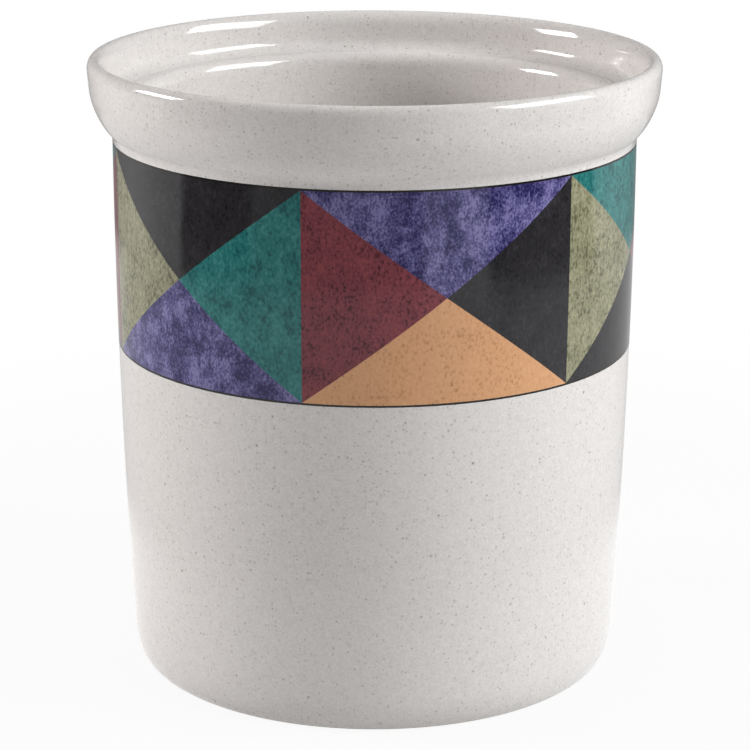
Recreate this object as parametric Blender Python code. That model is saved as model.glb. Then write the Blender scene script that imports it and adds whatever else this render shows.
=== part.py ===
# Stoneware kitchen canister: a turned body with a flared collar, a seat for a lid inside
# the collar, and a transfer-printed band of coloured fields between two border lines.
# Metres, +Z up. The origin is the centre of the circle on which the foot stands.
import math

import bmesh
import bpy

# Sizes of the body, outside
HEIGHT = 0.1894  # table to the top of the lip
NECK_RADIUS = 0.0795  # just under the collar
NECK_UPRIGHT = 0.0155  # how far down from the neck the wall stays upright
BASE_RADIUS = 0.0760  # where the wall runs into the rounding of the base
BASE_ROUND_WIDTH = 0.0042
BASE_ROUND_HEIGHT = 0.0125
FOOT_WIDTH = 0.0055  # flat unglazed ring that stands on the table
FOOT_SLOPE = 0.0015
UNDERSIDE_RECESS = 0.0018

# Sizes of the collar
COLLAR_HEIGHT = 0.0233  # corner of the neck to the top of the lip
COLLAR_OVERHANG = 0.0072  # how far the collar stands out from the neck
COLLAR_FLARE = 0.0011  # the part of it that lies above the shoulder
SHOULDER_DEGREES = 44.3  # from upright, where the shoulder leaves the neck
COVE_ROUND = 0.0015
SHOULDER_ROUND = 0.020
LIP_OUTER_WIDTH = 0.0023
LIP_OUTER_HEIGHT = 0.0032
LIP_INNER_WIDTH = 0.0025
LIP_INNER_HEIGHT = 0.0048

# Sizes of the seat for the lid, and of the inside
SEAT_DEPTH = 0.0122  # top of the lip down to the seat
SEAT_DRAFT = 0.0014  # how much narrower the recess is at the seat than at the lip
SEAT_FILLET = 0.0032
SEAT_EDGE_WIDTH = 0.0030
SEAT_EDGE_HEIGHT = 0.0044
WALL = 0.0064
FLOOR = 0.007
INSIDE_ROUND = 0.009

# Sizes of the printed band
BAND_HEIGHT = 0.0630
BAND_BELOW_COVE = 0.0005
LINE_WIDTH = 0.0006
FILM = 0.0003  # thickness of the print, its outer face flush with the wall
CLEARANCE = 0.0003  # between a film and whatever it touches
LOZENGES = 6
FIRST_LOZENGE_DEGREES = -15.0  # 0 is the front, -Y, and angles grow towards +X

# Facets
SEGMENTS = 72
BAND_ROWS = 3
WALL_STEPS = 4
ROUND_STEPS = 4
SEAT_STEPS = 3

# Heights and radii that follow from the sizes
NECK_HEIGHT = HEIGHT - COLLAR_HEIGHT
SHOULDER_ANGLE = math.radians(SHOULDER_DEGREES)
SHOULDER_OVERHANG = COLLAR_OVERHANG - COLLAR_FLARE
SHOULDER_RISE = SHOULDER_OVERHANG / math.tan(SHOULDER_ANGLE)
COVE_START = NECK_HEIGHT - COVE_ROUND * math.tan(SHOULDER_ANGLE / 2)
COLLAR_RADIUS = NECK_RADIUS + COLLAR_OVERHANG
CREST_RADIUS = COLLAR_RADIUS - LIP_OUTER_WIDTH
RECESS_RADIUS = CREST_RADIUS - LIP_INNER_WIDTH
LIP_END_RADIUS = RECESS_RADIUS - SEAT_DRAFT * LIP_INNER_HEIGHT / SEAT_DEPTH
MOUTH_RADIUS = NECK_RADIUS - WALL
SEAT_HEIGHT = HEIGHT - SEAT_DEPTH
FOOT_RADIUS = BASE_RADIUS - BASE_ROUND_WIDTH
BAND_TOP = COVE_START - BAND_BELOW_COVE - CLEARANCE
BAND_BOTTOM = BAND_TOP - BAND_HEIGHT
FIELD_TOP = BAND_TOP - LINE_WIDTH - CLEARANCE
FIELD_BOTTOM = BAND_BOTTOM + LINE_WIDTH + CLEARANCE
FIELD_MIDDLE = (FIELD_TOP + FIELD_BOTTOM) / 2
PRINT_SEAT = FILM + CLEARANCE  # depth of the shallow seat that the films lie in

# Colour, roughness of each finish
FINISHES = {
    "speckled_glaze": ((0.72, 0.69, 0.66), 0.12),
    "line_black": ((0.012, 0.013, 0.012), 0.15),
    "charcoal": ((0.055, 0.058, 0.062), 0.15),
    "sage": ((0.36, 0.37, 0.21), 0.15),
    "teal": ((0.035, 0.19, 0.18), 0.15),
    "burgundy": ((0.19, 0.045, 0.055), 0.15),
    "violet": ((0.12, 0.11, 0.31), 0.15),
    "peach": ((0.62, 0.33, 0.15), 0.15),
}

# Inks of the lozenges' left and right halves, and of the triangles above and below the
# point where a lozenge meets the next one. The rows repeat round the band.
LOZENGE_INKS = (("teal", "burgundy"), ("charcoal", "sage"), ("burgundy", "sage"))
UPPER_INKS = ("violet", "teal", "charcoal")
LOWER_INKS = ("peach", "charcoal", "violet")


def clear_scene():
    for obj in list(bpy.data.objects):
        bpy.data.objects.remove(obj, do_unlink=True)


def finish(name):
    material = bpy.data.materials.get(name)
    if material:
        return material
    colour, roughness = FINISHES[name]
    material = bpy.data.materials.new(name)
    material.use_nodes = True
    shader = material.node_tree.nodes["Principled BSDF"]
    shader.inputs["Base Color"].default_value = (*colour, 1.0)
    shader.inputs["Roughness"].default_value = roughness
    shader.inputs["Metallic"].default_value = 0.0
    return material


def add_object(name, bm, material_name):
    """Makes the bmesh an object, shaded smooth except at its sharp edges."""
    mesh = bpy.data.meshes.new(name)
    bm.to_mesh(mesh)
    bm.free()
    mesh.shade_smooth()
    mesh.set_sharp_from_angle(angle=math.radians(35))
    mesh.materials.append(finish(material_name))
    obj = bpy.data.objects.new(name, mesh)
    bpy.context.scene.collection.objects.link(obj)
    return obj


def wall_radius(height):
    """Outside radius of the wall: upright at the neck, then drawn in by a long curve."""
    curve_top = NECK_HEIGHT - NECK_UPRIGHT
    share = max(0.0, curve_top - height) / (curve_top - BASE_ROUND_HEIGHT)
    return NECK_RADIUS - (NECK_RADIUS - BASE_RADIUS) * share**2


def arc(centre, radii, start, end, steps):
    """Points on an ellipse, from one angle in degrees to the other."""
    points = []
    for i in range(steps + 1):
        turn = math.radians(start + (end - start) * i / steps)
        points.append((centre[0] + radii[0] * math.cos(turn), centre[1] + radii[1] * math.sin(turn)))
    return points


def rounding(before, corner, after, radius, steps):
    """Points of the arc of that radius that rounds off a corner between two straight runs."""
    reach_in = (before[0] - corner[0], before[1] - corner[1])
    reach_out = (after[0] - corner[0], after[1] - corner[1])
    angle_in = math.atan2(reach_in[1], reach_in[0])
    angle_out = math.atan2(reach_out[1], reach_out[0])
    opening = (angle_out - angle_in + math.pi) % (2 * math.pi) - math.pi
    half = abs(opening) / 2
    to_tangent = radius / math.tan(half)
    to_centre = radius / math.sin(half)
    middle = angle_in + opening / 2
    centre = (corner[0] + to_centre * math.cos(middle), corner[1] + to_centre * math.sin(middle))
    tangent = (corner[0] + to_tangent * math.cos(angle_in), corner[1] + to_tangent * math.sin(angle_in))
    start = math.degrees(math.atan2(tangent[1] - centre[1], tangent[0] - centre[0]))
    sweep = math.degrees(math.pi - abs(opening))
    if opening > 0:
        sweep = -sweep
    return arc(centre, (radius, radius), start, start + sweep, steps)


def swept_corner(start, corner, end, steps):
    """Points of the elliptical arc that leaves start towards corner and comes to end from it."""
    points = []
    for i in range(steps + 1):
        turn = math.pi / 2 * i / steps
        first, last = 1 - math.sin(turn), 1 - math.cos(turn)
        points.append(
            tuple(c + (s - c) * first + (e - c) * last for s, c, e in zip(start, corner, end))
        )
    return points


def wall_run(low, high, inset, steps):
    """Points up the wall between two heights, moved inwards by inset."""
    heights = [low + (high - low) * i / steps for i in range(steps + 1)]
    return [(wall_radius(height) - inset, height) for height in heights]


def foot_and_base():
    """From the middle of the underside, over the foot ring, to the top of the base rounding."""
    inner = FOOT_RADIUS - FOOT_WIDTH
    centre = (FOOT_RADIUS, BASE_ROUND_HEIGHT)
    radii = (BASE_ROUND_WIDTH, BASE_ROUND_HEIGHT)
    underside = [(0.0, UNDERSIDE_RECESS), (inner - FOOT_SLOPE, UNDERSIDE_RECESS), (inner, 0.0)]
    return underside + arc(centre, radii, -90, 0, ROUND_STEPS + 1)


def outer_wall():
    """Up the outside to the cove, with the shallow seat that the print lies in."""
    low = BAND_BOTTOM - CLEARANCE
    high = BAND_TOP + CLEARANCE
    below = wall_run(BASE_ROUND_HEIGHT, low, 0.0, WALL_STEPS)[1:]
    behind_print = wall_run(low, high, PRINT_SEAT, BAND_ROWS)
    return below + behind_print + [(wall_radius(high), high)]


def collar():
    """Cove, shoulder and lip: the flared rim from the neck to the inner edge of the lip."""
    neck = (NECK_RADIUS, NECK_HEIGHT)
    shoulder = (NECK_RADIUS + SHOULDER_OVERHANG, NECK_HEIGHT + SHOULDER_RISE)
    lip_start = (COLLAR_RADIUS, HEIGHT - LIP_OUTER_HEIGHT)
    under_neck = (NECK_RADIUS, BAND_BOTTOM)
    cove = rounding(under_neck, neck, shoulder, COVE_ROUND, SEAT_STEPS)
    bulge = rounding(neck, shoulder, lip_start, SHOULDER_ROUND, ROUND_STEPS + 1)
    crest = (CREST_RADIUS, HEIGHT)
    lip_end = (LIP_END_RADIUS, HEIGHT - LIP_INNER_HEIGHT)
    outer_lip = swept_corner(lip_start, (COLLAR_RADIUS, HEIGHT), crest, ROUND_STEPS)
    inner_lip = swept_corner(crest, (RECESS_RADIUS, HEIGHT), lip_end, ROUND_STEPS)
    return cove + bulge + outer_lip + inner_lip[1:]


def lid_seat():
    """The recess inside the collar: a fillet, the flat seat for a lid, and its rounded edge."""
    lip_end = (LIP_END_RADIUS, HEIGHT - LIP_INNER_HEIGHT)
    corner = (RECESS_RADIUS - SEAT_DRAFT, SEAT_HEIGHT)
    edge_start = (MOUTH_RADIUS + SEAT_EDGE_WIDTH, SEAT_HEIGHT)
    edge = (MOUTH_RADIUS, SEAT_HEIGHT)
    edge_end = (MOUTH_RADIUS, SEAT_HEIGHT - SEAT_EDGE_HEIGHT)
    fillet = rounding(lip_end, corner, edge_start, SEAT_FILLET, SEAT_STEPS)
    return fillet + swept_corner(edge_start, edge, edge_end, SEAT_STEPS)


def inside():
    """Down the inner wall, round its corner and across the floor to the axis."""
    turn_height = FLOOR + INSIDE_ROUND
    wall = wall_run(NECK_HEIGHT, turn_height, WALL, WALL_STEPS)
    centre = (wall[-1][0] - INSIDE_ROUND, turn_height)
    corner = arc(centre, (INSIDE_ROUND, INSIDE_ROUND), 0, -90, ROUND_STEPS)
    return wall + corner[1:] + [(0.0, FLOOR)]


def turned(name, profile, material_name, closed=False):
    """Spins a profile of (radius, height) points once round the Z axis."""
    bm = bmesh.new()
    verts = [bm.verts.new((radius, 0.0, height)) for radius, height in profile]
    runs = list(zip(verts, verts[1:]))
    if closed:
        runs.append((verts[-1], verts[0]))
    edges = [bm.edges.new(run) for run in runs]
    bmesh.ops.spin(
        bm,
        geom=verts + edges,
        cent=(0.0, 0.0, 0.0),
        axis=(0.0, 0.0, 1.0),
        angle=2 * math.pi,
        steps=SEGMENTS,
        use_merge=True,
    )
    bmesh.ops.remove_doubles(bm, verts=bm.verts, dist=1e-6)
    bmesh.ops.recalc_face_normals(bm, faces=bm.faces)
    return add_object(name, bm, material_name)


def canister_body():
    profile = foot_and_base() + outer_wall() + collar() + lid_seat() + inside()
    return turned("canister_body", profile, "speckled_glaze")


def border_line(name, low):
    """A thin printed ring that lies flush in the wall, from low up by the line's width."""
    outside = wall_run(low, low + LINE_WIDTH, 0.0, 1)
    behind = wall_run(low + LINE_WIDTH, low, FILM, 1)
    return turned(name, outside + behind, "line_black", closed=True)


def unrolled_sheet(start, end):
    """A flat grid over part of the band. X is the angle and Y the height.
    Its columns lie on the body's own facet edges, so that both bend alike."""
    step = 2 * math.pi / SEGMENTS
    first = math.floor(start / step + 1e-6)
    last = math.ceil(end / step - 1e-6)
    bm = bmesh.new()
    bmesh.ops.create_grid(bm, x_segments=last - first, y_segments=BAND_ROWS, size=0.5)
    width = (last - first) * step
    height = BAND_HEIGHT
    bmesh.ops.scale(bm, vec=(width, height, 1.0), verts=bm.verts)
    middle = ((first + last) / 2 * step, (BAND_BOTTOM + BAND_TOP) / 2, 0.0)
    bmesh.ops.translate(bm, vec=middle, verts=bm.verts)
    return bm


def trim(bm, corners):
    """Cuts a flat sheet to a convex outline, half a clearance inside each of its edges."""
    radius = wall_radius(FIELD_MIDDLE)
    count = len(corners)
    centre = (sum(c[0] for c in corners) / count, sum(c[1] for c in corners) / count)
    for start, end in zip(corners, corners[1:] + corners[:1]):
        along = ((end[0] - start[0]) * radius, end[1] - start[1])
        length = math.hypot(*along)
        out = (along[1] / length, -along[0] / length)
        if out[0] * (centre[0] - start[0]) * radius + out[1] * (centre[1] - start[1]) > 0:
            out = (-out[0], -out[1])
        inset = CLEARANCE / 2
        point = (start[0] - out[0] * inset / radius, start[1] - out[1] * inset, 0.0)
        bmesh.ops.bisect_plane(
            bm,
            geom=bm.verts[:] + bm.edges[:] + bm.faces[:],
            dist=1e-7,
            plane_co=point,
            plane_no=(out[0] * radius, out[1], 0.0),
            clear_outer=True,
        )


def wrap(bm):
    """Bends an unrolled film round the wall: X is the angle, Y the height, Z the way out."""
    for vert in bm.verts:
        angle, height, lift = vert.co
        radius = wall_radius(height) - FILM + lift
        vert.co = (radius * math.sin(angle), -radius * math.cos(angle), height)


def field(name, corners, ink):
    """One coloured area of the print, as a thin film bent round the wall."""
    angles = [corner[0] for corner in corners]
    bm = unrolled_sheet(min(angles), max(angles))
    trim(bm, corners)
    front = bmesh.ops.extrude_face_region(bm, geom=bm.faces[:], use_keep_orig=True)
    lifted = [item for item in front["geom"] if isinstance(item, bmesh.types.BMVert)]
    bmesh.ops.translate(bm, vec=(0.0, 0.0, FILM), verts=lifted)
    bmesh.ops.recalc_face_normals(bm, faces=bm.faces)
    wrap(bm)
    return add_object(name, bm, ink)


def print_band():
    """Lozenges split down the middle, touching tip to tip, with triangles between them."""
    pitch = 2 * math.pi / LOZENGES
    edge = CLEARANCE / 2  # trim() takes it off again, so that the fields end at their line
    top = FIELD_TOP + edge
    bottom = FIELD_BOTTOM - edge
    for i in range(LOZENGES):
        middle = math.radians(FIRST_LOZENGE_DEGREES) + i * pitch
        left = (middle - pitch / 2, FIELD_MIDDLE)
        right = (middle + pitch / 2, FIELD_MIDDLE)
        upper = (middle, top)
        lower = (middle, bottom)
        next_upper = (middle + pitch, top)
        next_lower = (middle + pitch, bottom)
        left_ink, right_ink = LOZENGE_INKS[i % len(LOZENGE_INKS)]
        upper_ink = UPPER_INKS[i % len(UPPER_INKS)]
        lower_ink = LOWER_INKS[i % len(LOWER_INKS)]
        number = i + 1
        field(f"lozenge_{number}_left_{left_ink}", [left, lower, upper], left_ink)
        field(f"lozenge_{number}_right_{right_ink}", [right, upper, lower], right_ink)
        field(f"upper_triangle_{number}_{upper_ink}", [upper, right, next_upper], upper_ink)
        field(f"lower_triangle_{number}_{lower_ink}", [lower, next_lower, right], lower_ink)


def main():
    clear_scene()
    canister_body()
    border_line("upper_border_line", BAND_TOP - LINE_WIDTH)
    border_line("lower_border_line", BAND_BOTTOM)
    print_band()


main()
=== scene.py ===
import math

import bmesh
import bpy
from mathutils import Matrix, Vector


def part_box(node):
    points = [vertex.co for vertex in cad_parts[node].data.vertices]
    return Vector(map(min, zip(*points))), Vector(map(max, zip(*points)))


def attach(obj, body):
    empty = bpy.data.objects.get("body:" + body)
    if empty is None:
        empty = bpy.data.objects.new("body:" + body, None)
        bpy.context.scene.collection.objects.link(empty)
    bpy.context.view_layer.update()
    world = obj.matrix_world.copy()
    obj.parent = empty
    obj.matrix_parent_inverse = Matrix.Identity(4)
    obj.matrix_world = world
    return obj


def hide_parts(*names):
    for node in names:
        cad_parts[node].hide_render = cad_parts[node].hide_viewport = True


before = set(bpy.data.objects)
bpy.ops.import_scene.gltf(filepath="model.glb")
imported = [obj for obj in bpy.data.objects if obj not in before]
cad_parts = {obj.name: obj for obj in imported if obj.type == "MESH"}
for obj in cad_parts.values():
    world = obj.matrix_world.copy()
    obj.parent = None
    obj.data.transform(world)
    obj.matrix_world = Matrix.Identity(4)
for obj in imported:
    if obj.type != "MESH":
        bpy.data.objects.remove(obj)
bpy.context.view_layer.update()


# The camera of the photograph: a long lens that looks down from above the rim
photoCamera = {
    "sideways": 0.00028,
    "distance": 0.8235,  # from the canister's axis, along -Y
    "height": 0.3298,
    "tilt": 16.35,  # degrees under the horizon
    "roll": 0.12,
    "lens": 131.86,
    "sensor": 36.0,
    "nearest": 0.01,
}


def addCamera(settings):
    camera = bpy.data.objects.new("photoCamera", bpy.data.cameras.new("photoCamera"))
    camera.data.lens = settings["lens"]
    camera.data.sensor_width = settings["sensor"]
    camera.data.clip_start = settings["nearest"]
    camera.location = (settings["sideways"], -settings["distance"], settings["height"])
    camera.rotation_mode = "ZYX"
    camera.rotation_euler = (math.radians(90 - settings["tilt"]), 0, math.radians(settings["roll"]))
    bpy.context.scene.collection.objects.link(camera)
    bpy.context.scene.camera = camera


addCamera(photoCamera)
print("camera placed")


# Shader maths: a Shade is one output socket, and sums on it add their Math nodes
class Shade:
    def __init__(self, tree, socket):
        self.tree = tree
        self.socket = socket

    def math(self, operation, first, second=0.0):
        node = self.tree.nodes.new("ShaderNodeMath")
        node.operation = operation
        for entry, value in zip(node.inputs, (first, second)):
            feed(self.tree, entry, value)
        return Shade(self.tree, node.outputs[0])

    def __add__(self, other):
        return self.math("ADD", self, other)

    def __sub__(self, other):
        return self.math("SUBTRACT", self, other)

    def __rsub__(self, other):
        return self.math("SUBTRACT", other, self)

    def __mul__(self, other):
        return self.math("MULTIPLY", self, other)

    def __truediv__(self, other):
        return self.math("DIVIDE", self, other)

    __radd__ = __add__
    __rmul__ = __mul__

    def limited(self):  # kept between 0 and 1
        return self.math("MINIMUM", self.math("MAXIMUM", self, 0.0), 1.0)

    def rising(self, low, high):  # 0 under low, 1 over high, smooth between them
        share = ((self - low) / (high - low)).limited()
        return share * share * (3.0 - 2.0 * share)

    def falling(self, low, high):
        return 1.0 - self.rising(low, high)


def feed(tree, entry, value):
    if isinstance(value, Shade):
        tree.links.new(value.socket, entry)
    else:
        entry.default_value = value


# How a speck fades out towards its rim, and how specks differ
dot = {
    "fade": (0.35, 1.0),  # from and to this share of its radius
    "palest": 0.25,
    "smallest": 0.001,  # in cells, so that nothing is divided by zero
    "chanceEdge": 0.02,
}


class Finish:
    def __init__(self, name):
        self.material = bpy.data.materials.new(name)
        self.material.use_nodes = True
        self.tree = self.material.node_tree
        self.shader = self.tree.nodes["Principled BSDF"]
        self.place = self.node("TexCoord", output="Object")

    def node(self, kind, settings=None, values=None, output=0):
        made = self.tree.nodes.new("ShaderNode" + kind)
        for key, value in (settings or {}).items():
            setattr(made, key, value)
        for key, value in (values or {}).items():
            feed(self.tree, made.inputs[key], value)
        return Shade(self.tree, made.outputs[output])

    def set(self, **sockets):  # roughness=0.1 goes to Roughness, baseColor to Base Color
        for key, value in sockets.items():
            words = "".join(" " + c if c.isupper() else c for c in key).split()
            feed(self.tree, self.shader.inputs[" ".join(w[0].upper() + w[1:] for w in words)], value)

    def noise(self, perMetre, detail=2.0, roughness=0.5, place=None):
        values = {"Vector": place or self.place, "Scale": perMetre, "Detail": detail, "Roughness": roughness}
        return self.node("TexNoise", values=values)

    def stretched(self, scale):
        return self.node("Mapping", {"vector_type": "POINT"}, {"Vector": self.place, "Scale": scale})

    def cells(self, perMetre, output):
        values = {"Vector": self.place, "Scale": perMetre}
        return self.node("TexVoronoi", {"feature": "F1"}, values, output)

    def channel(self, colour, output):
        return self.node("SeparateColor", values={"Color": colour}, output=output)

    def mixed(self, share, first, second):
        return self.node("Mix", {"data_type": "RGBA"}, {0: share, 6: first, 7: second}, 2)

    def specks(self, perMetre, share, widest):  # some cells hold a dot, each of its own size and depth
        near = self.cells(perMetre, "Distance")
        chance = self.cells(perMetre, "Color")
        size = self.channel(chance, "Red") * (widest * perMetre) + dot["smallest"]
        inside = (near / size).falling(*dot["fade"])
        depth = self.channel(chance, "Blue") * (1.0 - dot["palest"]) + dot["palest"]
        present = self.channel(chance, "Green").falling(share, share + dot["chanceEdge"])
        return inside * depth * present

    def bump(self, height, distance):
        values = {"Height": height, "Distance": distance, "Strength": 1.0}
        return self.node("Bump", values=values, output="Normal")


def rgb(red, green, blue):
    return (red, green, blue, 1.0)


# What the glaze and the fired print share: slight waves, and a gloss that varies a little
surface = {
    "waves": (24.0, 150.0),  # per metre
    "quickWaves": 0.12,  # their share of the slow ones' height
    "waveHeight": 0.00022,
    "glossPerMetre": 90.0,
    "glossSpread": 0.04,
}


def surfaceWaves(finish):
    slow, quick = (finish.noise(perMetre, 1.0) for perMetre in surface["waves"])
    return finish.bump(slow + quick * surface["quickWaves"], surface["waveHeight"])


def surfaceGloss(finish, middle):  # the roughness, around its middle value
    spread = surface["glossSpread"]
    return finish.noise(surface["glossPerMetre"]) * spread + (middle - spread / 2)


# Speckled glaze: off-white over a stoneware clay whose grit shows through as fine specks
glaze = {
    "colour": rgb(0.785, 0.747, 0.729),
    "cloud": rgb(0.620, 0.588, 0.570),
    "speck": rgb(0.220, 0.195, 0.180),
    "grain": (1500.0, 1.9),  # per metre, contrast
    "clouds": (420.0, 0.6),
    "cloudShare": 0.35,
    "fine": (950.0, 0.60, 0.00056, 0.46),  # specks: cells per metre, share, widest, how strong
    "broad": (560.0, 0.45, 0.00100, 0.13),
    "sharp": (420.0, 0.33, 0.00066, 0.74),
    "roughness": 0.09,
    "clay": rgb(0.52, 0.44, 0.36),
    "clayGrain": 0.22,
    "clayRoughness": 0.75,
    "clayTop": (0.00042, 0.0007),  # the foot is bare up to here
}


def glazeFinish(settings):
    finish = Finish("speckledGlaze")
    grainPerMetre, grainContrast = settings["grain"]
    cloudsPerMetre, cloudContrast = settings["clouds"]
    grain = finish.noise(grainPerMetre, 3.0, 0.6)
    cloud = (finish.noise(cloudsPerMetre) - 0.5) * cloudContrast
    tint = ((grain - 0.5) * grainContrast + cloud + settings["cloudShare"]).limited()
    colour = finish.mixed(tint, settings["colour"], settings["cloud"])
    for kind in ("broad", "fine", "sharp"):
        perMetre, share, widest, strength = settings[kind]
        dots = finish.specks(perMetre, share, widest)
        colour = finish.mixed(dots * strength, colour, settings["speck"])
    height = finish.node("SeparateXYZ", values={"Vector": finish.place}, output="Z")
    bare = height.falling(*settings["clayTop"])
    clayTint = finish.mixed(grain * settings["clayGrain"], settings["clay"], settings["speck"])
    rougher = settings["clayRoughness"] - settings["roughness"]
    finish.set(
        baseColor=finish.mixed(bare, colour, clayTint),
        roughness=surfaceGloss(finish, settings["roughness"]) + bare * rougher,
        normal=surfaceWaves(finish),
    )
    return finish.material


# Inks of the transfer print, each mottled as if it were sponged on
inks = {
    "charcoal": {
        "colour": rgb(0.024, 0.022, 0.025),
        "light": rgb(0.040, 0.037, 0.042),
        "dark": rgb(0.012, 0.011, 0.013),
        "grain": (1100.0, 1.6),  # per metre, contrast
        "patches": (300.0, 0.9),
        "blotches": 0.8,
        "specks": (950.0, 0.40, 0.00050, 0.6),  # as for the glaze
    },
    "sage": {
        "colour": rgb(0.250, 0.245, 0.150),
        "light": rgb(0.345, 0.330, 0.220),
        "dark": rgb(0.115, 0.108, 0.065),
        "grain": (1100.0, 2.4),
        "patches": (300.0, 0.8),
        "blotches": 1.0,
        "specks": (950.0, 0.50, 0.00050, 0.6),
    },
    "teal": {
        "colour": rgb(0.020, 0.165, 0.160),
        "light": rgb(0.046, 0.225, 0.215),
        "dark": rgb(0.007, 0.085, 0.090),
        "grain": (1100.0, 2.2),
        "patches": (340.0, 1.4),
        "blotches": 1.0,
        "specks": (950.0, 0.50, 0.00050, 0.6),
    },
    "burgundy": {
        "colour": rgb(0.198, 0.038, 0.052),
        "light": rgb(0.262, 0.052, 0.062),
        "dark": rgb(0.070, 0.009, 0.016),
        "grain": (1300.0, 2.3),
        "patches": (320.0, 0.7),
        "blotches": 0.8,
        "specks": (1250.0, 0.90, 0.00042, 0.6),
    },
    "violet": {
        "colour": rgb(0.085, 0.074, 0.210),
        "light": rgb(0.205, 0.183, 0.385),
        "dark": rgb(0.020, 0.016, 0.085),
        "grain": (1600.0, 2.4),
        "patches": (260.0, 1.7),
        "blotches": 1.7,
        "specks": (950.0, 0.25, 0.00050, 0.5),
    },
    "peach": {
        "colour": rgb(0.665, 0.345, 0.172),
        "light": rgb(0.725, 0.400, 0.215),
        "dark": rgb(0.400, 0.180, 0.075),
        "grain": (1200.0, 1.3),
        "patches": (300.0, 0.3),
        "blotches": 0.4,
        "specks": (1250.0, 0.60, 0.00038, 0.45),
    },
}


# What all inks of the print share, and the black of the border lines
press = {
    "stretch": (1.0, 1.0, 0.72),  # under 1 draws the grain out upwards
    "blotchesPerMetre": 120.0,
    "roughness": 0.095,
    "lineGrain": 1200.0,  # per metre
    "black": (rgb(0.008, 0.008, 0.008), rgb(0.022, 0.021, 0.019)),
}


def inkFinish(name, settings):
    finish = Finish(name + "Print")
    drawnOut = finish.stretched(press["stretch"])
    tone = (finish.noise(press["blotchesPerMetre"]) - 0.5) * settings["blotches"]
    for perMetre, contrast in (settings["grain"], settings["patches"]):
        tone = (finish.noise(perMetre, 2.0, 0.6, drawnOut) - 0.5) * contrast + tone
    tone = (tone + 0.5).limited()
    dark = finish.mixed(tone.rising(0.0, 0.5), settings["dark"], settings["colour"])
    colour = finish.mixed(tone.rising(0.5, 1.0), dark, settings["light"])
    perMetre, share, widest, strength = settings["specks"]
    dots = finish.specks(perMetre, share, widest)
    colour = finish.mixed(dots * strength, colour, settings["dark"])
    finish.set(
        baseColor=colour,
        roughness=surfaceGloss(finish, press["roughness"]),
        normal=surfaceWaves(finish),
    )
    return finish.material


def lineFinish():
    finish = Finish("blackLinePrint")
    finish.set(
        baseColor=finish.mixed(finish.noise(press["lineGrain"]), *press["black"]),
        roughness=surfaceGloss(finish, press["roughness"]),
        normal=surfaceWaves(finish),
    )
    return finish.material


print("finishes made")

sharpFrom = 40  # degrees between faces, where shading breaks at an edge


def addPiece(name, bm, material, slotName, *nodes):
    mesh = bpy.data.meshes.new(name)
    bm.to_mesh(mesh)
    bm.free()
    mesh.materials.append(material)
    mesh.shade_smooth()
    mesh.set_sharp_from_angle(angle=math.radians(sharpFrom))
    piece = bpy.data.objects.new(name, mesh)
    bpy.context.scene.collection.objects.link(piece)
    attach(piece, "root")
    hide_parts(*nodes)


# The turned stoneware body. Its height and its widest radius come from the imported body's own box
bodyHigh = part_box("canister_body")[1]
body = {
    "height": bodyHigh.z,
    "collarRadius": bodyHigh.x,
    "collarHeight": 0.0233,
    "collarFlare": 0.0011,
    "neckRadius": 0.0795,
    "neckUpright": 0.0155,
    "baseRadius": 0.0760,
    "baseRound": (0.0042, 0.0125),  # width and height of the rounding
    "footWidth": 0.0055,
    "footSlope": 0.0015,
    "footRound": 0.0008,
    "undersideRecess": 0.0018,
    "recessRound": 0.001,
    "coveRise": 0.0004,
    "shoulderAngle": 44.3,  # from upright, where it leaves the neck
    "coveRound": 0.0045,
    "shoulderRound": 0.020,
    "lipOuter": (0.0023, 0.0032),
    "lipInner": (0.0025, 0.0048),
    "seatDepth": 0.0122,
    "seatDraft": 0.0014,
    "seatFillet": 0.0042,
    "seatEdge": (0.0030, 0.0044),
    "wall": 0.0064,
    "floor": 0.007,
    "insideRound": 0.009,
    "turns": 240,
    "cornerCuts": 10,
    "wallCuts": 40,
    "longEdge": 0.05,  # edges taller than this get the wall cuts
    "weld": 2e-6,
}
neckHeight = body["height"] - body["collarHeight"] + body["coveRise"]


def wallRadius(height):  # upright at the neck, then drawn in by a long curve
    curveTop = neckHeight - body["neckUpright"]
    share = max(0.0, curveTop - height) / (curveTop - body["baseRound"][1])
    return body["neckRadius"] - (body["neckRadius"] - body["baseRadius"]) * share**2


def fillet(before, corner, after, radius):  # the corner, between the ends of its rounding
    before, corner, after = Vector(before), Vector(corner), Vector(after)
    arrive = (before - corner).normalized()
    leave = (after - corner).normalized()
    reach = radius / math.tan(arrive.angle(leave) / 2)
    return [(*(corner + arrive * reach), False), (*corner, True), (*(corner + leave * reach), False)]


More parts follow.
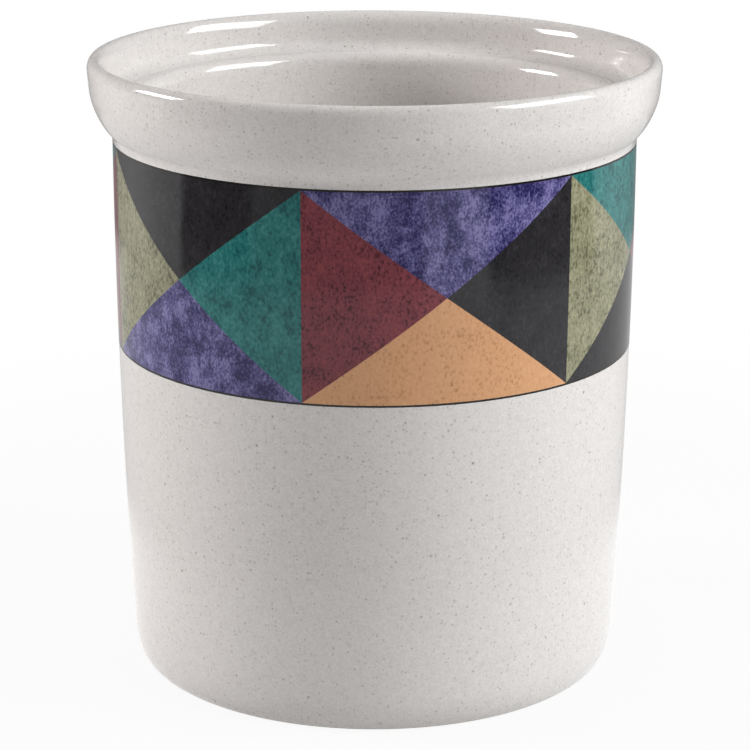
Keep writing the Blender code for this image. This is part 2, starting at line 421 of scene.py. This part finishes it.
def bodyOutline(settings):
    top = settings["height"]
    roundWidth, roundHeight = settings["baseRound"]
    footOuter = settings["baseRadius"] - roundWidth
    footInner = footOuter - settings["footWidth"]
    recess = settings["undersideRecess"]
    shoulderOut = settings["collarRadius"] - settings["collarFlare"] - settings["neckRadius"]
    shoulderUp = shoulderOut / math.tan(math.radians(settings["shoulderAngle"]))
    lipOut, lipDrop = settings["lipOuter"]
    innerOut, innerDrop = settings["lipInner"]
    neck = (settings["neckRadius"], neckHeight)
    shoulder = (neck[0] + shoulderOut, neckHeight + shoulderUp)
    lipStart = (settings["collarRadius"], top - lipDrop)
    crest = settings["collarRadius"] - lipOut
    recessRadius = crest - innerOut
    seat = top - settings["seatDepth"]
    mouth = settings["neckRadius"] - settings["wall"]
    seatCorner = (recessRadius - settings["seatDraft"], seat)
    lipEnd = recessRadius - settings["seatDraft"] * innerDrop / settings["seatDepth"]
    turnHeight = settings["floor"] + settings["insideRound"]
    floorWall = wallRadius(turnHeight) - settings["wall"]
    middle, slopeTop = (0.0, recess), (footInner - settings["footSlope"], recess)
    innerEdge, outerEdge = (footInner, 0.0), (footOuter, 0.0)
    underside = [(*middle, False)]
    underside += fillet(middle, slopeTop, innerEdge, settings["recessRound"])
    underside += fillet(slopeTop, innerEdge, outerEdge, settings["footRound"])
    base = [
        (footOuter, 0.0, False),
        (settings["baseRadius"], 0.0, True),
        (settings["baseRadius"], roundHeight, False),
    ]
    collar = fillet((neck[0], 0.0), neck, shoulder, settings["coveRound"])
    collar += fillet(neck, shoulder, lipStart, settings["shoulderRound"])
    collar += [
        (*lipStart, False),
        (settings["collarRadius"], top, True),
        (crest, top, False),
        (recessRadius, top, True),
        (lipEnd, top - innerDrop, False),
    ]
    edgeWidth, edgeDrop = settings["seatEdge"]
    seatRing = fillet((recessRadius, top), seatCorner, (mouth, seat), settings["seatFillet"])
    seatRing += [
        (mouth + edgeWidth, seat, False),
        (mouth, seat, True),
        (mouth, seat - edgeDrop, False),
    ]
    inside = [
        (mouth, neckHeight, False),
        (floorWall, turnHeight, False),
        (floorWall, settings["floor"], True),
        (floorWall - settings["insideRound"], settings["floor"], False),
        (0.0, settings["floor"], False),
    ]
    return underside + base + collar + seatRing + inside


def makeBody(settings):
    bm = bmesh.new()
    outline = bodyOutline(settings)
    verts = [bm.verts.new((radius, 0.0, height)) for radius, height, _ in outline]
    for start, end in zip(verts, verts[1:]):
        bm.edges.new((start, end))
    corners = [vert for vert, point in zip(verts, outline) if point[2]]
    bmesh.ops.bevel(
        bm,
        geom=corners,
        offset=100.0,
        offset_type="PERCENT",
        affect="VERTICES",
        segments=settings["cornerCuts"],
        profile=0.5,
        material=-1,
        clamp_overlap=False,
    )
    bmesh.ops.remove_doubles(bm, verts=bm.verts, dist=settings["weld"])
    rises = {edge: abs(edge.verts[0].co.z - edge.verts[1].co.z) for edge in bm.edges}
    walls = [edge for edge, rise in rises.items() if rise > settings["longEdge"]]
    bmesh.ops.subdivide_edges(bm, edges=walls, cuts=settings["wallCuts"])
    low = settings["baseRound"][1]
    turnHeight = settings["floor"] + settings["insideRound"]
    for vert in bm.verts:
        outside = vert.co.x > wallRadius(vert.co.z) - settings["wall"] / 2
        if outside and low < vert.co.z < neckHeight - 2 * settings["coveRound"]:
            vert.co.x = wallRadius(vert.co.z)
        elif turnHeight < vert.co.z < neckHeight and not outside:
            vert.co.x = wallRadius(vert.co.z) - settings["wall"]
    bmesh.ops.spin(
        bm,
        geom=bm.verts[:] + bm.edges[:],
        cent=(0, 0, 0),
        axis=(0, 0, 1),
        angle=math.tau,
        steps=settings["turns"],
        use_merge=True,
    )
    bmesh.ops.remove_doubles(bm, verts=bm.verts, dist=settings["weld"])
    bmesh.ops.recalc_face_normals(bm, faces=bm.faces)
    addPiece("canisterBody", bm, glazeFinish(glaze), "speckled_glaze", "canister_body")


makeBody(body)
print("body turned")


# The printed band: split lozenges tip to tip, with triangles above and below their tips
upperLineLow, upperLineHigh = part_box("upper_border_line")
band = {
    "top": upperLineHigh.z,
    "bottom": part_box("lower_border_line")[0].z,
    "line": upperLineHigh.z - upperLineLow.z,
    "lozenges": 6,
    "first": -15.0,  # degrees from the front, towards +X
    "lozengeInks": (("teal", "burgundy"), ("charcoal", "sage"), ("burgundy", "sage")),
    "upperInks": ("violet", "teal", "charcoal"),
    "lowerInks": ("peach", "charcoal", "violet"),
    "proud": 0.00003,
    "lineProud": 0.000045,
    "depth": 0.0002,  # from the outer face of the print into the wall
    "columns": 240,
    "rows": 16,
    "nearly": 1e-4,  # a field that ends this near to a column ends on it
    "weld": 1e-7,
}


def sheetOver(start, end):  # a flat grid over part of the band: X the angle, Y the height
    step = math.tau / band["columns"]
    first = math.floor(start / step + band["nearly"])
    last = math.ceil(end / step - band["nearly"])
    tall = band["top"] - band["bottom"]
    bm = bmesh.new()
    bmesh.ops.create_grid(bm, x_segments=last - first, y_segments=band["rows"], size=0.5)
    bmesh.ops.scale(bm, vec=((last - first) * step, tall, 1.0), verts=bm.verts)
    middle = ((first + last) / 2 * step, (band["top"] + band["bottom"]) / 2, 0.0)
    bmesh.ops.translate(bm, vec=middle, verts=bm.verts)
    return bm


def cutTo(bm, corners):  # trims the flat grid to a convex outline
    middle = sum((Vector(corner) for corner in corners), Vector((0.0, 0.0))) / len(corners)
    for start, end in zip(corners, corners[1:] + corners[:1]):
        start, end = Vector(start), Vector(end)
        out = Vector((end.y - start.y, start.x - end.x)).normalized()
        if out.dot(middle - start) > 0:
            out = -out
        bmesh.ops.bisect_plane(
            bm,
            geom=bm.verts[:] + bm.edges[:] + bm.faces[:],
            dist=band["weld"],
            plane_co=(start.x, start.y, 0.0),
            plane_no=(out.x, out.y, 0.0),
            clear_outer=True,
        )


def wrapOnWall(bm):  # X is the angle, Y the height, Z the way out
    for vert in bm.verts:
        angle, height, out = vert.co
        radius = wallRadius(height) + out
        vert.co = (radius * math.sin(angle), -radius * math.cos(angle), height)


def makeField(name, corners, material, slotName, node):
    angles = [corner[0] for corner in corners]
    bm = sheetOver(min(angles), max(angles))
    cutTo(bm, corners)
    bmesh.ops.translate(bm, vec=(0, 0, band["proud"] - band["depth"]), verts=bm.verts)
    raised = bmesh.ops.extrude_face_region(bm, geom=bm.faces[:], use_keep_orig=True)["geom"]
    lifted = [item for item in raised if isinstance(item, bmesh.types.BMVert)]
    bmesh.ops.translate(bm, vec=(0, 0, band["depth"]), verts=lifted)
    bmesh.ops.recalc_face_normals(bm, faces=bm.faces)
    wrapOnWall(bm)
    addPiece(name, bm, material, slotName, node)


def makeLine(name, low, node, material):
    high = low + band["line"]
    bm = bmesh.new()
    outer = wallRadius(low) + band["lineProud"]
    inner = outer - band["depth"]
    corners = ((outer, low), (outer, high), (inner, high), (inner, low))
    verts = [bm.verts.new((radius, 0.0, height)) for radius, height in corners]
    for start, end in zip(verts, verts[1:] + verts[:1]):
        bm.edges.new((start, end))
    bmesh.ops.spin(
        bm,
        geom=bm.verts[:] + bm.edges[:],
        cent=(0, 0, 0),
        axis=(0, 0, 1),
        angle=math.tau,
        steps=band["columns"],
        use_merge=True,
    )
    bmesh.ops.recalc_face_normals(bm, faces=bm.faces)
    addPiece(name, bm, material, "line_black", node)


def makeBand():
    finishes = {name: inkFinish(name, settings) for name, settings in inks.items()}
    black = lineFinish()
    makeLine("upperBorderLine", band["top"] - band["line"], "upper_border_line", black)
    makeLine("lowerBorderLine", band["bottom"], "lower_border_line", black)
    top = band["top"] - band["line"]
    bottom = band["bottom"] + band["line"]
    waist = (top + bottom) / 2
    pitch = math.tau / band["lozenges"]
    for i in range(band["lozenges"]):
        middle = math.radians(band["first"]) + i * pitch
        left, right = (middle - pitch / 2, waist), (middle + pitch / 2, waist)
        upper, lower = (middle, top), (middle, bottom)
        nextUpper, nextLower = (middle + pitch, top), (middle + pitch, bottom)
        turn = i % len(band["lozengeInks"])
        leftInk, rightInk = band["lozengeInks"][turn]
        fields = (
            ("lozenge", "left", leftInk, [left, lower, upper]),
            ("lozenge", "right", rightInk, [right, upper, lower]),
            ("upper_triangle", "", band["upperInks"][turn], [upper, right, nextUpper]),
            ("lower_triangle", "", band["lowerInks"][turn], [lower, nextLower, right]),
        )
        for kind, side, ink, corners in fields:
            words = [kind, str(i + 1), side, ink]
            node = "_".join(word for word in words if word)
            first, *others = node.split("_")
            name = first + "".join(word.capitalize() for word in others)
            makeField(name, corners, finishes[ink], ink, node)


makeBand()
print("band printed")


# The studio: a white sweep under three soft boxes. The glaze mirrors a sweep of its own, with
# dimmer ground at the left, at the right and in front
studio = {
    "floorHalf": 4.0,
    "floorDrop": 0.0001,
    "floorColour": 0.50,
    "floorGlow": 0.26,  # a light table, lit a little from under
    "footShade": (0.076, 0.105, 0.42),  # painted shade round the foot: the table's glow is dimmer within these radii, by this share
    "roomGlow": 0.03,
    "fills": {"left": (-55, 0.12), "right": (66, 0.16)},  # pale walls: azimuth and glow
    "fillSpread": (0.2, 1.0),
    "backdropGlow": 0.30,  # as the glaze mirrors it, low behind the canister
    "backdropSpread": (0.3, 0.8),
    "backdropTop": (0.25, 0.45),
    "shadowShare": 0.09,  # how much of the floor's real light the camera sees near the canister
    "shadowReach": (0.20, 0.42),
    "footGlow": 1.05,  # from here on, the sweep as the glaze mirrors it
    "footReach": (0.13, 0.20),
    "nearGlow": 0.60,
    "farGlow": 0.75,
    "rearGlow": 0.25,
    "rearFrom": (112, 150),  # azimuth
    "dimFrom": (0.52, 0.62),  # radius where the dim ground begins
    "dimGround": {
        "left": (-69.2, 17.6, 0.95),  # azimuth, half-width, how dim
        "right": (76.0, 29.0, 0.95),
        "front": (-16.0, 36.0, 0.60),
    },
    "dimEdge": 2.0,  # degrees
    "lights": {
        "softLeft": {
            "azimuth": -94,
            "distance": 0.95,
            "height": 0.53,
            "size": (0.38, 0.25),
            "glow": 27.6,  # radiance
            "tint": (1.0, 0.985, 0.97),
        },
        "softRight": {
            "azimuth": 75.5,
            "distance": 1.20,
            "height": 0.90,
            "size": (0.97, 0.64),
            "glow": 11.2,
            "tint": (0.98, 1.0, 1.0),
        },
        "softTop": {
            "azimuth": 180,
            "distance": 0.10,
            "height": 1.30,
            "size": (2.4, 2.2),
            "glow": 0.20,
            "tint": (1.0, 1.0, 1.0),
        },
    },
}


def aroundAxis(azimuth, distance, height):  # azimuth 0 is the camera's side, growing towards +X
    turn = math.radians(azimuth)
    return Vector((distance * math.sin(turn), -distance * math.cos(turn), height))


def addSoftBox(name, settings):
    light = bpy.data.lights.new(name, "AREA")
    light.shape = "RECTANGLE"
    light.size, light.size_y = settings["size"]
    light.energy = settings["glow"] * math.pi * light.size * light.size_y
    light.color = settings["tint"]
    box = bpy.data.objects.new(name, light)
    box.location = aroundAxis(settings["azimuth"], settings["distance"], settings["height"])
    aim = Vector((0, 0, body["height"] / 2)) - box.location
    box.rotation_euler = aim.to_track_quat("-Z", "Y").to_euler()
    bpy.context.scene.collection.objects.link(box)


def sweepGlow(finish, radius, settings):  # what the sweep looks like in the glaze
    across = finish.node("SeparateXYZ", values={"Vector": finish.place}, output="X")
    depth = finish.node("SeparateXYZ", values={"Vector": finish.place}, output="Y")
    azimuth = across.math("ARCTAN2", across, 0.0 - depth) * math.degrees(1.0)
    beyond = radius.rising(*settings["dimFrom"])
    edge = settings["dimEdge"]
    dim = 0.0
    for middle, half, share in settings["dimGround"].values():
        away = across.math("ABSOLUTE", azimuth - middle)
        dim = away.falling(half - edge, half + edge) * share + dim
    foot = radius.falling(*settings["footReach"]) * (settings["footGlow"] - settings["nearGlow"])
    near = foot + settings["nearGlow"]
    far = (settings["farGlow"] - near) * beyond * (1.0 - dim)
    behind = across.math("ABSOLUTE", azimuth).rising(*settings["rearFrom"]) * beyond
    return (near * (1.0 - beyond * dim) + far) * (1.0 - behind) + behind * settings["rearGlow"]


def sweepFinish(settings):
    finish = Finish("sweep")
    finish.tree.nodes.remove(finish.shader)
    direct = finish.node("LightPath", output="Is Camera Ray")
    mirrored = finish.node("LightPath", output="Is Glossy Ray")
    through = finish.node("LightPath", output="Is Transmission Ray")
    grey = settings["floorColour"]
    lit = finish.node("BsdfDiffuse", values={"Color": rgb(grey, grey, grey)})
    radius = finish.node("VectorMath", {"operation": "LENGTH"}, {0: finish.place}, "Value")
    # painted shade round the foot: the table's glow fades near it
    shadeFrom, shadeTo, shade = settings["footShade"]
    under = 1.0 - radius.falling(shadeFrom, shadeTo) * shade
    under = finish.node("Emission", values={"Color": under, "Strength": settings["floorGlow"]})
    lit = finish.node("AddShader", values={0: lit, 1: under})
    glow = finish.node("Emission", values={"Color": sweepGlow(finish, radius, settings)})
    white = finish.node("Emission", values={"Strength": 1.0})
    shadow = radius.falling(*settings["shadowReach"]) * settings["shadowShare"]
    shown = finish.node("MixShader", values={0: shadow, 1: white, 2: lit})
    direct = direct.math("MAXIMUM", direct, through)
    seen = finish.node("MixShader", values={0: direct, 1: lit, 2: shown})
    seen = finish.node("MixShader", values={0: mirrored, 1: seen, 2: glow})
    finish.tree.links.new(seen.socket, finish.tree.nodes["Material Output"].inputs["Surface"])
    return finish.material


def addFloor(settings):
    bm = bmesh.new()
    bmesh.ops.create_grid(bm, x_segments=1, y_segments=1, size=settings["floorHalf"])
    bmesh.ops.translate(bm, vec=(0, 0, -settings["floorDrop"]), verts=bm.verts)
    mesh = bpy.data.meshes.new("floor")
    bm.to_mesh(mesh)
    bm.free()
    mesh.materials.append(sweepFinish(settings))
    floor = bpy.data.objects.new("floor", mesh)
    bpy.context.scene.collection.objects.link(floor)


class Room(Finish):  # the same nodes, in a world, where a place is a direction
    def __init__(self, name):
        self.world = bpy.data.worlds.new(name)
        self.world.use_nodes = True
        self.tree = self.world.node_tree
        self.place = self.node("TexCoord", output="Generated")

    def towards(self, direction):
        return self.node("VectorMath", {"operation": "DOT_PRODUCT"}, {0: self.place, 1: direction}, "Value")


def addRoom(settings):
    room = Room("room")
    seen = room.node("LightPath", output="Is Camera Ray")
    mirrored = room.node("LightPath", output="Is Glossy Ray")
    filled = settings["roomGlow"]
    for azimuth, glow in settings["fills"].values():
        wall = room.towards(aroundAxis(azimuth, 1.0, 0.0))
        filled = wall.rising(*settings["fillSpread"]) * glow + filled
    lit = room.node("Background", values={"Strength": filled})
    behind = room.towards((0.0, 1.0, 0.0)).rising(*settings["backdropSpread"])
    low = room.towards((0.0, 0.0, 1.0)).falling(*settings["backdropTop"])
    glow = behind * low * settings["backdropGlow"] + settings["roomGlow"]
    backdrop = room.node("Background", values={"Strength": glow})
    white = room.node("Background", values={"Strength": 1.0})
    for share, wanted in ((mirrored, backdrop), (seen, white)):
        lit = room.node("MixShader", values={0: share, 1: lit, 2: wanted})
    room.tree.links.new(lit.socket, room.tree.nodes["World Output"].inputs["Surface"])
    bpy.context.scene.world = room.world


addFloor(studio)
addRoom(studio)
for lightName, lightSettings in studio["lights"].items():
    addSoftBox(lightName, lightSettings)
bpy.context.scene.view_settings.view_transform = "Standard"
print("studio lit")
